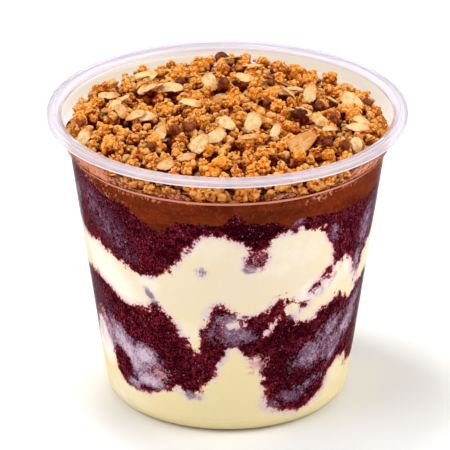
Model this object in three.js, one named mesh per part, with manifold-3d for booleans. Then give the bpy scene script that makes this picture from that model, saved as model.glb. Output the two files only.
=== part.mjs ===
// A clear plastic tub of layered acai: cream and acai in turn, a chocolate layer and a heap of granola.
// Millimetres and degrees, +Z up, origin at the middle of the base.
// Angles run from the front, -Y, towards +X.
import * as THREE from "three";
import { mergeVertices } from "three/addons/utils/BufferGeometryUtils.js";
import Module from "manifold-3d";

const wasm = await Module();
wasm.setup();

// Tub
const RIM_RADIUS = 58.5;
const TUB_HEIGHT = 98;
const WALL = 0.8;
const BASE_RADIUS = 38.6; // where the wall's line would meet the table
const TAPER = 0.146; // how much the wall's radius grows for each millimetre of height
const CORNER_RADIUS = 6.5;
const RECESS_DEPTH = 1.2; // the base is pushed up inside its foot ring
const RECESS_RADIUS = 27;
const RECESS_SLOPE = 2; // width of the sloping edge of the recess
const STEP_HEIGHT = 87.6; // stacking step, where the wall widens into the band under the rim
const STEP_RISE = 0.8;
const BAND_RADIUS = 52.7;
const BAND_TOP_RADIUS = 54.4;
const LIP_DROP = 2.6;
const LIP_ROUND = 0.8;
const MOUTH_ROUND = 1.2;
const TUB_COLUMNS = 60;

// Food
const GAP = 0.3; // room between neighbouring solids
const WELD = 0.0001; // corners of a shape nearer than this are one
const LAYER_COLUMNS = 60;
const MIDDLE_RING = 0.55; // share of the wall's radius at which a layer's surfaces have their inner ring
const CHOCOLATE_TOP = 89;

// Each boundary between two layers is a level with spoon marks: [angle, rise, half width].
// A mark with a rise below 0 is a dip.
const CREAM_BASE_TOP = {
  level: 20,
  marks: [
    [-71, 14.5, 15],
    [-46, -8.5, 37],
    [-16, -5.5, 8],
    [3, 14, 13],
    [13, 7.5, 6],
    [35, -13.5, 28],
    [74, -5, 19],
    [104, 9, 20],
    [138, -10, 26],
    [172, 11, 17],
    [206, -9, 24],
    [240, 7, 16],
    [266, -6, 14],
  ],
};
const ACAI_LOWER_TOP = {
  level: 45,
  marks: [
    [-70, 4.5, 33],
    [-47, -1.5, 14],
    [-31, 2.5, 5],
    [-15, -11, 12],
    [-13.5, -3.5, 4],
    [-4, 5, 11],
    [22, 7.5, 7],
    [34, -5, 19],
    [55, 2, 9],
    [60, -3.5, 9],
    [78, 2, 9],
    [112, -7, 22],
    [150, 5, 18],
    [186, -9, 16],
    [222, 4, 20],
    [252, -5, 14],
  ],
};
const CREAM_MIDDLE_TOP = {
  level: 66,
  marks: [
    [-68, -3.5, 25],
    [-37, -8.5, 28],
    [-6, 10, 19],
    [14, -2, 7],
    [27, 10, 36],
    [50, -10.5, 11],
    [65, -15.5, 13],
    [77, -6, 8],
    [108, 7, 20],
    [142, -8, 20],
    [178, 8, 20],
    [214, -9, 22],
    [248, 6, 18],
  ],
};
const ACAI_UPPER_TOP = {
  level: 80,
  marks: [
    [-71, 7, 36],
    [-43, 2, 8],
    [-28, -4.5, 11],
    [3, 4.5, 5],
    [23, -2.5, 5],
    [58, -2, 34],
    [118, 4, 22],
    [158, -3, 18],
    [196, 4, 20],
    [236, -3, 16],
  ],
};

// Granola
const HEAP_CREST = 95.5; // top of the bare core, under its loose pieces
const HEAP_EDGE = 92.4;
const HEAP_RADIUS = 52;
const CLUSTERS = { count: 62, radius: [4.9, 6.7], height: [3.2, 4.3], reach: 48.4, lift: 0.7, knobs: 0.2 };
const FLAKES = {
  every: 2, // one on every second cluster
  length: [3.9, 5.1],
  width: [2.6, 3.2],
  thickness: 0.75,
  tilt: 26,
  sides: 7,
  rows: 3,
};
const BALLS = { count: 12, radius: [2.5, 3], reach: 47, lift: 2.6 };
const GOLDEN_ANGLE = 137.508;
const GRANOLA_SEED = 7;
const SLIVER = 0.12; // edges of the fused heap that move it by less than this are dropped

// Looks: [colour, roughness]
const CLEAR_PLASTIC = [0xf1ecf2, 0.12];
const CLEAR_OPACITY = 0.3;
const CREAM = [0xecdcae, 0.55];
const PALE_CREAM = [0xf3e8c8, 0.55];
const ACAI = [0x4a0f1c, 0.6];
const CHOCOLATE = [0x7a3414, 0.4];
const GRANOLA = [0xc98a3c, 0.85];

const { degToRad, lerp, radToDeg, seededRandom } = THREE.MathUtils;
const draw = ([low, high]) => lerp(low, high, seededRandom());

// Solids and meshes

function solidOf(geometry) {
  const bare = new THREE.BufferGeometry()
    .setAttribute("position", geometry.getAttribute("position"))
    .setIndex(geometry.index);
  const merged = mergeVertices(bare, WELD);
  const corners = merged.index.array;
  const triVerts = [];
  for (let i = 0; i < corners.length; i += 3) {
    const [a, b, c] = corners.slice(i, i + 3);
    if (a !== b && b !== c && c !== a) triVerts.push(a, b, c);
  }
  const vertProperties = merged.attributes.position.array;
  return new wasm.Manifold(
    new wasm.Mesh({ numProp: 3, vertProperties, triVerts: new Uint32Array(triVerts) }),
  );
}

function meshOf(name, solid, [color, roughness], opacity = 1) {
  const made = solid.getMesh();
  const geometry = new THREE.BufferGeometry()
    .setAttribute("position", new THREE.BufferAttribute(made.vertProperties, 3))
    .setIndex(new THREE.BufferAttribute(made.triVerts, 1));
  geometry.computeVertexNormals();
  const transparent = opacity < 1;
  const material = new THREE.MeshStandardMaterial({ color, roughness, metalness: 0, transparent, opacity });
  const mesh = new THREE.Mesh(geometry, material);
  mesh.name = name;
  return mesh;
}

// A closed solid turned about Z through rings, from the axis round to the axis.
// A ring gives [radius, height] at an angle.
function turned(rings, columns) {
  const placeholder = rings.map((ring, i) => new THREE.Vector2(1, i));
  const geometry = new THREE.LatheGeometry(placeholder, columns);
  const position = geometry.getAttribute("position");
  for (let i = 0; i < position.count; i++) {
    const angle = (360 * Math.floor(i / rings.length)) / columns;
    const [radius, height] = rings[i % rings.length](angle % 360);
    position.setXYZ(i, radius * Math.sin(degToRad(angle)), height, radius * Math.cos(degToRad(angle)));
  }
  return solidOf(geometry.rotateX(Math.PI / 2));
}

const fixedRing = (radius, height) => () => [radius, height];

function arcRings(radius, height, size, from, to, steps) {
  return Array.from({ length: steps + 1 }, (_, i) => {
    const angle = degToRad(from + ((to - from) * i) / steps);
    return fixedRing(radius + size * Math.cos(angle), height + size * Math.sin(angle));
  });
}

// Tub

const taperAngle = radToDeg(Math.atan(TAPER));
const cornerCentre = BASE_RADIUS + TAPER * CORNER_RADIUS - CORNER_RADIUS * Math.hypot(1, TAPER);
const wallRadius = (height) => BASE_RADIUS + TAPER * height;
const floorHeight = WALL + RECESS_DEPTH;

function tubSolid() {
  const stepTop = STEP_HEIGHT + STEP_RISE;
  const mouthCentre = BAND_TOP_RADIUS - WALL + MOUTH_ROUND;
  const outside = [
    fixedRing(0, RECESS_DEPTH),
    fixedRing(RECESS_RADIUS, RECESS_DEPTH),
    fixedRing(RECESS_RADIUS + RECESS_SLOPE, 0),
    ...arcRings(cornerCentre, CORNER_RADIUS, CORNER_RADIUS, -90, -taperAngle, 4),
    fixedRing(wallRadius(STEP_HEIGHT), STEP_HEIGHT),
    fixedRing(BAND_RADIUS, stepTop),
    fixedRing(BAND_TOP_RADIUS, TUB_HEIGHT - WALL - MOUTH_ROUND),
    fixedRing(BAND_TOP_RADIUS + MOUTH_ROUND, TUB_HEIGHT - WALL),
    fixedRing(RIM_RADIUS - WALL, TUB_HEIGHT - WALL),
    fixedRing(RIM_RADIUS - WALL, TUB_HEIGHT - LIP_DROP),
    fixedRing(RIM_RADIUS, TUB_HEIGHT - LIP_DROP),
    ...arcRings(RIM_RADIUS - LIP_ROUND, TUB_HEIGHT - LIP_ROUND, LIP_ROUND, 0, 90, 2),
  ];
  const inside = [
    ...arcRings(mouthCentre, TUB_HEIGHT - MOUTH_ROUND, MOUTH_ROUND, 90, 180, 2),
    fixedRing(BAND_RADIUS - WALL, stepTop + WALL / 2),
    fixedRing(wallRadius(STEP_HEIGHT) - WALL, STEP_HEIGHT + WALL / 2),
    ...arcRings(cornerCentre, CORNER_RADIUS, CORNER_RADIUS - WALL, -taperAngle, -90, 3),
    fixedRing(RECESS_RADIUS + RECESS_SLOPE, WALL),
    fixedRing(RECESS_RADIUS, floorHeight),
    fixedRing(0, floorHeight),
  ];
  return turned([...outside, ...inside], TUB_COLUMNS);
}

// Layers

function spoonMark(offset, halfWidth) {
  const turn = ((((offset + 180) % 360) + 360) % 360) - 180;
  const share = Math.abs(turn) / halfWidth;
  return share < 1 ? 0.5 + 0.5 * Math.cos(Math.PI * share) : 0;
}

function boundaryHeight({ level, marks }, angle, share = 1) {
  const rise = marks.reduce((sum, [at, height, width]) => sum + height * spoonMark(angle - at, width), 0);
  return level + rise * share;
}

const insideRadius = (height) => wallRadius(Math.min(height, STEP_HEIGHT)) - WALL - GAP;

// Rings of one face of a layer, from the axis out to the wall.
function faceRings(boundary, offset) {
  const ring = (share) => (angle) => {
    const height = boundaryHeight(boundary, angle, share) + offset;
    return [share * insideRadius(height), height];
  };
  return [0, MIDDLE_RING, 1].map(ring);
}

function layerSolid(lower, upper) {
  const under = faceRings(lower, GAP / 2);
  const over = faceRings(upper, -GAP / 2).reverse();
  return turned([...under, ...over], LAYER_COLUMNS);
}

function baseLayerSolid(upper) {
  const under = [
    fixedRing(0, floorHeight + GAP),
    fixedRing(RECESS_RADIUS + GAP, floorHeight + GAP),
    fixedRing(RECESS_RADIUS + RECESS_SLOPE + GAP, WALL + GAP),
    ...arcRings(cornerCentre, CORNER_RADIUS, CORNER_RADIUS - WALL - GAP, -90, -taperAngle, 3),
  ];
  return turned([...under, ...faceRings(upper, -GAP / 2).reverse()], LAYER_COLUMNS);
}

// Granola

const heapHeight = (radius) => HEAP_EDGE + (HEAP_CREST - HEAP_EDGE) * (1 - (radius / HEAP_RADIUS) ** 2);
const heapFloor = CHOCOLATE_TOP + GAP;

function bandInside(height) {
  const share = (height - STEP_HEIGHT) / (TUB_HEIGHT - STEP_HEIGHT);
  return BAND_RADIUS + (BAND_TOP_RADIUS - BAND_RADIUS) * share - WALL - GAP;
}

function heapCore() {
  const edge = bandInside(heapFloor) - GAP;
  const rings = [
    fixedRing(0, heapFloor),
    fixedRing(edge, heapFloor + GAP),
    fixedRing(edge, heapHeight(edge)),
    fixedRing(edge * MIDDLE_RING, heapHeight(edge * MIDDLE_RING)),
    fixedRing(0, HEAP_CREST),
  ];
  return turned(rings, LAYER_COLUMNS / 2);
}

// The free room of the granola, up to well above the rim.
function heapRoom() {
  const top = TUB_HEIGHT + MOUTH_ROUND;
  const headroom = 2 * TUB_HEIGHT;
  const rings = [
    fixedRing(0, heapFloor),
    fixedRing(bandInside(heapFloor) - GAP, heapFloor),
    fixedRing(bandInside(top) - GAP, top),
    fixedRing(bandInside(top) - GAP, headroom),
    fixedRing(0, headroom),
  ];
  return turned(rings, LAYER_COLUMNS);
}

// Spots spread evenly over the heap by the golden angle.
function heapSpot(index, count, reach) {
  const radius = reach * Math.sqrt((index + 0.5) / count);
  const angle = degToRad(index * GOLDEN_ANGLE);
  return new THREE.Vector3(radius * Math.sin(angle), -radius * Math.cos(angle), heapHeight(radius));
}

function placed(geometry, spot, turn, size) {
  const frame = new THREE.Matrix4().compose(spot, new THREE.Quaternion().setFromEuler(turn), size);
  return geometry.applyMatrix4(frame);
}

// A knobbly lump: a ball whose corners are pushed in and out, the same corner always by the same amount.
function lump(knobs) {
  const ball = new THREE.DodecahedronGeometry().deleteAttribute("normal").deleteAttribute("uv");
  const geometry = mergeVertices(ball);
  const position = geometry.getAttribute("position");
  for (let i = 0; i < position.count; i++) {
    const push = 1 + draw([-knobs, knobs]);
    position.setXYZ(i, position.getX(i) * push, position.getY(i) * push, position.getZ(i) * push);
  }
  return geometry;
}

function cluster(spot, size) {
  const turn = new THREE.Euler(0, 0, degToRad(draw([0, 360])));
  return solidOf(placed(lump(CLUSTERS.knobs), spot, turn, size));
}

// An oat flake lying on top of a cluster.
function flake(spot) {
  const tilts = [-FLAKES.tilt, FLAKES.tilt];
  const [lean, roll, spin] = [tilts, tilts, [0, 360]].map((limits) => degToRad(draw(limits)));
  const turn = new THREE.Euler(lean, roll, spin, "ZYX");
  const size = new THREE.Vector3(draw(FLAKES.length), draw(FLAKES.width), FLAKES.thickness);
  const disc = new THREE.SphereGeometry(1, FLAKES.sides, FLAKES.rows).rotateX(Math.PI / 2);
  return solidOf(placed(disc, spot, turn, size));
}

function ball(spot) {
  const radius = draw(BALLS.radius);
  spot.z += BALLS.lift;
  const size = new THREE.Vector3(radius, radius, radius);
  return solidOf(placed(new THREE.IcosahedronGeometry(), spot, new THREE.Euler(), size));
}

function granolaSolid() {
  seededRandom(GRANOLA_SEED);
  const pieces = [heapCore()];
  for (let i = 0; i < CLUSTERS.count; i++) {
    const spot = heapSpot(i, CLUSTERS.count, CLUSTERS.reach);
    const size = new THREE.Vector3(draw(CLUSTERS.radius), draw(CLUSTERS.radius), draw(CLUSTERS.height));
    spot.z = Math.max(spot.z + CLUSTERS.lift, heapFloor + size.z);
    pieces.push(cluster(spot, size));
    if (i % FLAKES.every === 0) {
      const crown = spot.clone().setZ(spot.z + size.z - FLAKES.thickness / 2);
      pieces.push(flake(crown));
    }
  }
  for (let i = 0; i < BALLS.count; i++) {
    pieces.push(ball(heapSpot(i + 0.5, BALLS.count, BALLS.reach)));
  }
  const fused = wasm.Manifold.union(pieces).intersect(heapRoom()).simplify(SLIVER);
  const bodies = fused.decompose();
  return bodies.reduce((largest, body) => (body.volume() > largest.volume() ? body : largest));
}

const chocolateTop = { level: CHOCOLATE_TOP + GAP / 2, marks: [] };

const part = new THREE.Group();
part.add(
  meshOf("tub", tubSolid(), CLEAR_PLASTIC, CLEAR_OPACITY),
  meshOf("cream_base", baseLayerSolid(CREAM_BASE_TOP), CREAM),
  meshOf("acai_lower", layerSolid(CREAM_BASE_TOP, ACAI_LOWER_TOP), ACAI),
  meshOf("cream_middle", layerSolid(ACAI_LOWER_TOP, CREAM_MIDDLE_TOP), PALE_CREAM),
  meshOf("acai_upper", layerSolid(CREAM_MIDDLE_TOP, ACAI_UPPER_TOP), ACAI),
  meshOf("chocolate", layerSolid(ACAI_UPPER_TOP, chocolateTop), CHOCOLATE),
  meshOf("granola", granolaSolid(), GRANOLA),
);

export default part;
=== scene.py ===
import functools
import math

import bpy
import numpy as np
from bpy.props import FloatProperty, FloatVectorProperty, IntProperty, PointerProperty
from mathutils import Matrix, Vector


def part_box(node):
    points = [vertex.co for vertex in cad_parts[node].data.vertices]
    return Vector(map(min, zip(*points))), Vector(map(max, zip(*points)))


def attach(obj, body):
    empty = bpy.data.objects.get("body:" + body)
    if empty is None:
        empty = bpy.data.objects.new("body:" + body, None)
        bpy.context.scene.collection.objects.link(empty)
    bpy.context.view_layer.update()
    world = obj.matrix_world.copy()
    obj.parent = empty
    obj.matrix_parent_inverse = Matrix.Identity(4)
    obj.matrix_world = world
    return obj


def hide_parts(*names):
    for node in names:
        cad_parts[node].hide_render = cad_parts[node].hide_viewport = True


bl_info = {
    "name": "Layered acai tub",
    "version": (1, 0, 0),
    "blender": (4, 5, 0),
    "location": "3D View > Sidebar > Acai tub",
    "description": "A clear tub of layered acai, cream and chocolate under a heap of granola",
    "category": "Add Mesh",
}

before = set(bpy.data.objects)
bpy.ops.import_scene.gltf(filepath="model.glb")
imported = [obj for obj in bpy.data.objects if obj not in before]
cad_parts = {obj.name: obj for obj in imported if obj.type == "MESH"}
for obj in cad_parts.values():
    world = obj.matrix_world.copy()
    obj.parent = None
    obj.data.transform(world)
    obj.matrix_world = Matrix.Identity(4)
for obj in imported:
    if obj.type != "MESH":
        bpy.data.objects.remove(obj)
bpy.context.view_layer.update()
TUB_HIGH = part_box("tub")[1]
MM = 0.001
BODY = "root"

# Tops of the layers: a level and spoon marks, (angle, rise, half width), in millimetres and degrees.
# They follow the tops of the solids, with finer marks. Angles run from the front, -Y, towards +X.
CREAM_BASE_TOP = (19.6, [
    (-71, 14.5, 15), (-46, -8.5, 37), (-16, -5.5, 8), (3, 14, 13), (13, 7.5, 6), (35, -13.5, 28),
    (74, -5, 19), (104, 9, 20), (138, -10, 26), (172, 11, 17), (206, -9, 24), (240, 7, 16), (266, -6, 14),
    (94, -2, 6), (113, 2.2, 6), (126, -1.8, 7), (150, 2, 7), (163, -2.2, 5), (183, 2.4, 6), (196, -2, 5),
    (217, 2.2, 8), (231, -1.8, 6), (254, 2.2, 7),
])
ACAI_LOWER_TOP = (44.4, [
    (-70, 4.5, 33), (-47, -1.5, 14), (-31, 2.5, 5), (-15, -11, 12), (-13.5, -3.5, 4), (-4, 5, 11),
    (22, 7.5, 7), (34, -5, 19), (55, 2, 9), (60, -3.5, 9), (78, 2, 9), (112, -7, 22), (150, 5, 18),
    (186, -9, 16), (222, 4, 20), (252, -5, 14), (98, 2, 6), (107, -1.8, 5), (124, 2.4, 7), (139, -2, 6),
    (161, 2.2, 6), (176, -2.2, 7), (203, 2.4, 7), (213, -2, 5), (237, 2.2, 6), (262, -1.8, 6),
])
CREAM_MIDDLE_TOP = (65.1, [
    (-68, -3.5, 25), (-37, -8.5, 28), (-6, 10, 19), (14, -2, 7), (27, 10, 36), (50, -10.5, 11),
    (65, -15.5, 13), (77, -6, 8), (108, 7, 20), (142, -8, 20), (178, 8, 20), (214, -9, 22), (248, 6, 18),
    (97, -2, 6), (117, 2.2, 6), (129, -2, 5), (152, 2.4, 7), (168, -2.2, 6), (190, 2.2, 6), (203, -2, 6),
    (226, 2.4, 7), (240, -2, 5), (259, 2, 6),
])
ACAI_UPPER_TOP = (79, [
    (-72, 6.6, 34), (-43, 2, 8), (-28, -4.5, 11), (3, 4.5, 5), (23, -2.5, 5), (58, -2, 34), (118, 4, 22),
    (158, -3, 18), (196, 4, 20), (236, -3, 16), (102, -1, 5), (129, 1.2, 6), (146, -1, 5), (171, 1.2, 6),
    (184, -1, 5), (210, 1.2, 6), (224, -1, 5), (252, 1.2, 6),
])
CHOCOLATE_TOP = (87.7, [
    (-62, 5.2, 40), (-19, 2.9, 10), (20, 3.0, 10), (0, 0.7, 10), (40, 0.8, 12), (64, 4.6, 28), (104, 1.8, 20),
    (140, 0.6, 18), (180, 2.4, 26), (224, 0.8, 20), (262, 1.8, 20), (-88, 0.9, 5), (-79, -1.0, 5),
    (-71, 0.8, 4), (-64, -0.7, 4), (-55, 0.6, 4), (-47, -0.7, 4), (47, -0.6, 4), (54, 0.7, 4), (62, -0.8, 4),
    (70, 0.9, 5), (78, -1.1, 5), (86, 1.0, 4), (95, -0.5, 5), (115, 0.6, 5), (128, 0.5, 4), (165, -0.6, 6),
    (177, 0.6, 5), (190, -0.7, 5), (201, 0.5, 5), (233, 0.6, 5), (251, -0.5, 5),
])

# Patches on the wall: (angle, height, half length, half width, tilt, strength).
WIDTH, STRENGTH = 3, 5
SOFT_EDGE = 0.35
ACAI_ISLANDS = [
    (11.5, 65.5, 3.6, 3.0, 30, 1), (43.5, 55, 5.2, 1.3, 42, 0.8), (31.5, 46.6, 1.5, 0.9, 0, 0.9),
    (26, 48.6, 2.2, 1.2, 0, 1), (64, 55, 5.5, 2.2, 90, 0.7), (12, 70.6, 2.4, 1.4, 0, 0.7),
    (34.5, 15, 12.3, 8, 6, 1.5),
]
CREAM_SPOTS = [
    (2, 41.2, 2.6, 1.7, 0, 1), (19, 40.4, 2.6, 0.8, 60, 1), (-16, 36.5, 1.2, 0.8, 0, 0.8),
    (60, 15, 6.5, 4.4, 28, 1.5), (-69, 23, 5.5, 4.5, 0, 1.4),
]
FROST_PATCHES = [
    (-50, 25, 12, 5.4, -45, 1.7), (-40, 25.5, 5.4, 4.2, 0, 1.95), (-38, 16.4, 5.6, 3.2, 0, 1.95),
    (-46, 13.0, 5, 2, -15, 1.3), (-62, 27.5, 8, 4.5, -50, 1.2), (2, 37.8, 8, 3.8, 0, 0.82),
    (0, 43.6, 6, 2.4, 0, 0.76), (41, 26.6, 9, 5.4, 12, 0.82), (54, 27.6, 8.5, 4.6, 20, 0.84),
    (63, 31.5, 7, 4, 25, 1.15), (34, 13.2, 12, 3.4, 18, 0.56), (-60, 74, 12, 5, -38, 0.42),
    (-47, 67, 10, 4, -40, 0.36), (68, 65, 10, 5, 80, 0.6), (64, 54.4, 6, 2.6, 90, 0.9),
    (-16, 14.2, 4.5, 1.8, 0, 1), (27, 78.6, 3.4, 2.2, 20, 0.9), (-10, 61.4, 2.6, 2.0, 0, 1),
    (30, 43.4, 4.6, 2.4, 0, 0.5), (46, 70, 3, 4, 20, 0.55), (-76, 75, 5, 3, 90, 0.7),
    (-79, 66, 9, 4, 90, 0.6), (-31.5, 22.5, 3.4, 1.5, 70, 0.8), (-33, 49.8, 3.6, 1.7, -50, 1.1),
    (41, 49, 4, 2.2, 35, 0.6), (50, 33.6, 7, 4, 30, 0.82), (8.6, 62.3, 3.4, 1.9, -10, 1.1),
    (-74, 27.5, 6, 7, 0, 0.62), (68, 37.5, 7, 3.6, 50, 0.9), (54, 23.6, 5, 1.8, 49, 1.1),
]
# Painted shade: patches where the acai is darkened.
PAINTED_SHADE_PATCHES = [
    (8, 76, 22, 7, 0, 0.8), (-24, 66, 9, 6, 0, 0.4), (25, 38, 13, 8, 20, 0.65), (34, 16, 12, 8, 0, 0.6),
    (28, 25, 10, 7, 0, 0.6), (-28, 30, 14, 7, -40, 0.3),
]
PALE_PATCHES = [
    (-58, 53, 24, 10, -28, 0.8), (-34, 54, 9, 6, -50, 0.5), (22, 66, 22, 12, 0, 0.4), (-8, 70, 12, 7, 0, 0.4),
    (52, 55, 14, 7, 30, 0.5), (34, 50, 9, 5, 30, 0.7), (-70, 24, 11, 11, 0, 1.2), (-58, 8, 18, 7, 0, 0.4),
    (60, 15, 10, 9, 0, 0.3), (-16, 38, 7, 6, 0, 0.4),
]
BLUSH_PATCHES = [
    (-32, 20.2, 4.6, 3, 0, 0.85), (13, 26.3, 4.4, 3.4, 30, 0.8), (11.5, 65.5, 3.4, 2.4, 30, 0.5),
    (-67, 33, 5, 2.6, -40, 0.8), (48, 53, 5, 1.6, 42, 0.7),
]
CALM_PATCHES = [(34, 13, 18, 10, 0, 0.8), (-44, 11, 16, 6, 0, 0.6)]
VEIL_PATCHES = [
    (-56, 73, 22, 9, -36, 0.42), (-70, 40, 12, 8, 0, 0.3), (70, 66, 12, 9, 60, 0.35),
    (58, 34, 16, 7, 30, 0.25),
]
FROST_HOLES = [(-54.5, 20, 6.2, 4.3, -50, 1), (-38.5, 12.4, 4.4, 2.3, 5, 1.1)]
CHOCOLATE_SMEARS = [
    (-33, 86.6, 11, 1.2, -4, 0.6), (-14, 86.9, 6, 0.9, 0, 0.5), (36, 85.4, 8, 1.7, 12, 0.55),
    (58, 86.4, 9, 1.2, 6, 0.5), (-60, 85.6, 16, 2.6, 4, 0.3), (-54, 91, 32, 5.2, 0, 1.2),
    (55, 90.8, 21, 5, 0, 1.0), (-30, 90, 12, 1.4, 0, 0.7), (-19, 89.2, 9, 2.4, 0, 0.8),
    (20, 89.2, 9, 2.4, 0, 0.8), (0, 88.2, 10, 1.0, 0, 0.7), (-54, 83, 16, 5, -20, 0.28),
]
BACK_PATCHES = {"islands": 9, "spots": 9, "frost": 16, "span": (102, 258), "heights": (14, 76)}

# The line of sight from the front: how far up a piece is seen for each millimetre back and each one up.
SIGHT = (0.4067, 0.9135)
# Toppings that stand out, in millimetres and degrees: to the right, how far up they are seen, and so on.
# Oat flakes: (right, up, turn, length, lean towards the front, toast).
OAT_FLAKES = [
    (-26.5, 100.7, 40, 8.2, 15, 0.15), (-38.5, 94.5, -10, 7.5, 5, 0.4), (-34.3, 89.4, -65, 6, 30, 0.6),
    (-27.1, 87.7, -20, 8.6, 15, 0.1), (-18.3, 97.1, -15, 8, 15, 0.1), (-5.6, 98.7, -60, 7, 40, 0.1),
    (-11.8, 91.8, -12, 7.2, 8, 0.2), (-27.4, 96.4, 60, 5, 20, 0.4), (-0.1, 84.7, -45, 6.6, 25, 0.2),
    (-3.7, 81.2, 35, 7.4, 30, 0.1), (-8.9, 78.2, 60, 7.6, 45, 0.1), (-46.3, 80.5, 70, 7, 40, 0.1),
    (-21.3, 82.1, 80, 6, 30, 0.5), (5.7, 100.3, -20, 6.6, 10, 0.3), (26.8, 95.1, 75, 6.8, 40, 0.1),
    (40.5, 92.2, -35, 8.6, 20, 0.15), (18.7, 95.5, -25, 6.6, 10, 0.7), (8.3, 85.4, 80, 7.8, 42, 0.1),
    (15.5, 82.8, 75, 5.6, 35, 0.25), (23.9, 78.6, 42, 9.8, 46, 0.7), (29.8, 86.4, -45, 7, 30, 0.5),
    (42.1, 84.1, 8, 8, 8, 0.25), (41.5, 77.9, -75, 5.8, 40, 0.2), (33, 83.4, 0, 5, 8, 0.3),
    (7.3, 80.5, 12, 7, 2, 0.6), (-13.1, 74.0, 10, 6.6, 20, 0.6), (-19.6, 71.4, 30, 6, 30, 0.5),
]
# Flakes that lean outwards, from the right side round the back to the left, and flakes under the clusters.
SIDE_FLAKES, BURIED_FLAKES = 18, 16
# Cocoa balls: (right, up, radius). Cocoa clusters: (right, up). Raisins: (right, up, turn).
COCOA_BALLS = [
    (-1.8, 106.5, 2.4), (-15.1, 98.7, 1.9), (-1.1, 98.4, 1.8), (37.6, 78.2, 1.8), (-39.5, 93.2, 1.7),
    (-17, 82.8, 1.8),
]
COCOA_CLUSTERS = [
    (-12.2, 83.8), (-24.2, 77.6), (30.1, 90.9), (12.9, 92.2), (34.6, 86.7), (32, 78.9), (-47, 85.4),
    (14.2, 99.2), (45, 91.7), (-31.8, 85.2), (-19, 81.8),
]
RAISINS = [(22.9, 88.0, 10)]
RAISIN_SIZE = (2.7, 1.6, 1.5)
# Modelled clusters: (how many, range of lumps, size of a lump, grains, triangles).
CLUSTER_SHAPES = {
    "large": (6, (5, 8), 2.0, 66, 2500), "clusters": (10, (2, 5), 1.75, 34, 1100),
    "small": (6, (1, 3), 1.25, 12, 300), "under": (6, (2, 3), 1.35, 8, 150),
    "crumbs": (6, (1, 2), 0.8, 3, 60),
}
COCOA_SHAPES = (4, (4, 7), 1.25, 12, 1000)
OAT_BITS = 0.3
# Rings of clusters against the wall: (how many, how far they sink).
EDGE_RINGS = [(39, 1.0), (45, 0.8)]
# Where the heap rises above its even shape: (x, y, rise, half width).
HEAP_PEAKS = [(0, 44, 2.0, 15)]
# Ribs on top of the lip: (in from its edge, down from its top).
LIP_RIBS = [
    (1.1, 0.02), (1.35, 0.25), (1.9, 0.28), (2.1, 0.06), (2.4, 0.06), (2.6, 0.25), (2.95, 0.25), (3.15, 0.03),
]
# Soft lights: place and size in metres, all turned to a point on the axis at the target's height.
LIGHTS = {"key": ((-1.0, -0.5, 0.85), 0.9), "fill": ((1.0, -0.3, 0.7), 0.9), "top": ((-0.25, 0.25, 1.5), 0.3)}
LIGHT_TARGET = 0.06


def shade(red, green, blue):
    """A colour of a screen, 0 to 255, as the linear colour that the shaders take."""
    steps = [value / 255 for value in (red, green, blue)]
    return tuple(v / 12.92 if v <= 0.04045 else ((v + 0.055) / 1.055) ** 2.4 for v in steps)


def length(name, description, millimetres):
    default = millimetres * MM
    return FloatProperty(name=name, description=description, default=default, unit="LENGTH", precision=5)


def power(name, description, watts):
    return FloatProperty(name=name, description=description, default=watts, unit="POWER")


def colour(name, description, red, green, blue):
    default = shade(red, green, blue)
    return FloatVectorProperty(
        name=name, description=description, default=default, size=3, min=0, max=1, subtype="COLOR"
    )


class TubSettings(bpy.types.PropertyGroup):
    """Sizes and looks of the clear tub."""

    rim_radius: length("Rim radius", "Outer edge of the lip", TUB_HIGH.x / MM)
    height: length("Height", "Top of the lip", TUB_HIGH.z / MM)
    wall: length("Wall", "Thickness of the plastic", 0.8)
    base_radius: length("Base radius", "Where the wall's line would meet the table", 38.6)
    taper: FloatProperty(name="Taper", description="Growth of the radius with the height", default=0.146)
    corner_radius: length("Corner radius", "Rounding between wall and base", 6.5)
    recess_depth: length("Recess depth", "How far the base is pushed up inside its foot ring", 1.2)
    recess_radius: length("Recess radius", "Radius of the flat of the recess", 27)
    step_height: length("Step height", "Stacking step under the band", 87.1)
    band_radius: length("Band radius", "Band just above the step", 52.7)
    band_top_radius: length("Band top radius", "Band just below the lip", 54.4)
    lip_drop: length("Lip drop", "Height of the turned-down lip", 2.1)
    tint: colour("Tint", "Colour of the clear wall", 252, 250, 252)
    # The band tint is painted light: the food's colour bounced onto the back half of the band.
    band_bounce_tint: colour("Band tint", "Colour of the band above the step", 213, 199, 184)
    step_colour: colour("Step colour", "Light that the stacking step catches", 238, 150, 114)
    lip_colour: colour("Lip colour", "Milky colour of the lip", 239, 233, 241)


class FoodSettings(bpy.types.PropertyGroup):
    """Colours of the layers."""

    cream: colour("Cream", "Pale cream between the acai layers", 234, 220, 191)
    cream_pale: colour("Pale cream", "Whitest cream", 246, 239, 224)
    cream_base: colour("Base cream", "Yellower cream in the foot of the tub", 237, 221, 170)
    acai_dark: colour("Acai, dark", "Deep parts of the acai", 28, 1, 5)
    acai_light: colour("Acai, light", "Grains of the acai", 126, 35, 50)
    acai_edge: colour("Acai edge", "Thin acai over cream", 168, 44, 52)
    blush: colour("Blush", "Cream stained by the acai", 206, 144, 152)
    frost_dark: colour("Frost, dark", "Thin frost over acai", 116, 81, 104)
    frost_light: colour("Frost, light", "Thick frost over acai", 216, 194, 208)
    chocolate: colour("Chocolate", "Chocolate cream", 114, 43, 18)
    chocolate_dark: colour("Chocolate, dark", "Darker swirls of the chocolate", 88, 30, 12)
    smear: colour("Smear", "Thin chocolate smeared on the plastic", 222, 148, 114)
    embed: length("Embed", "How far the food reaches into the wall", 0.55)
    columns: IntProperty(name="Columns", description="Columns round a layer", default=300, min=24)


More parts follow.
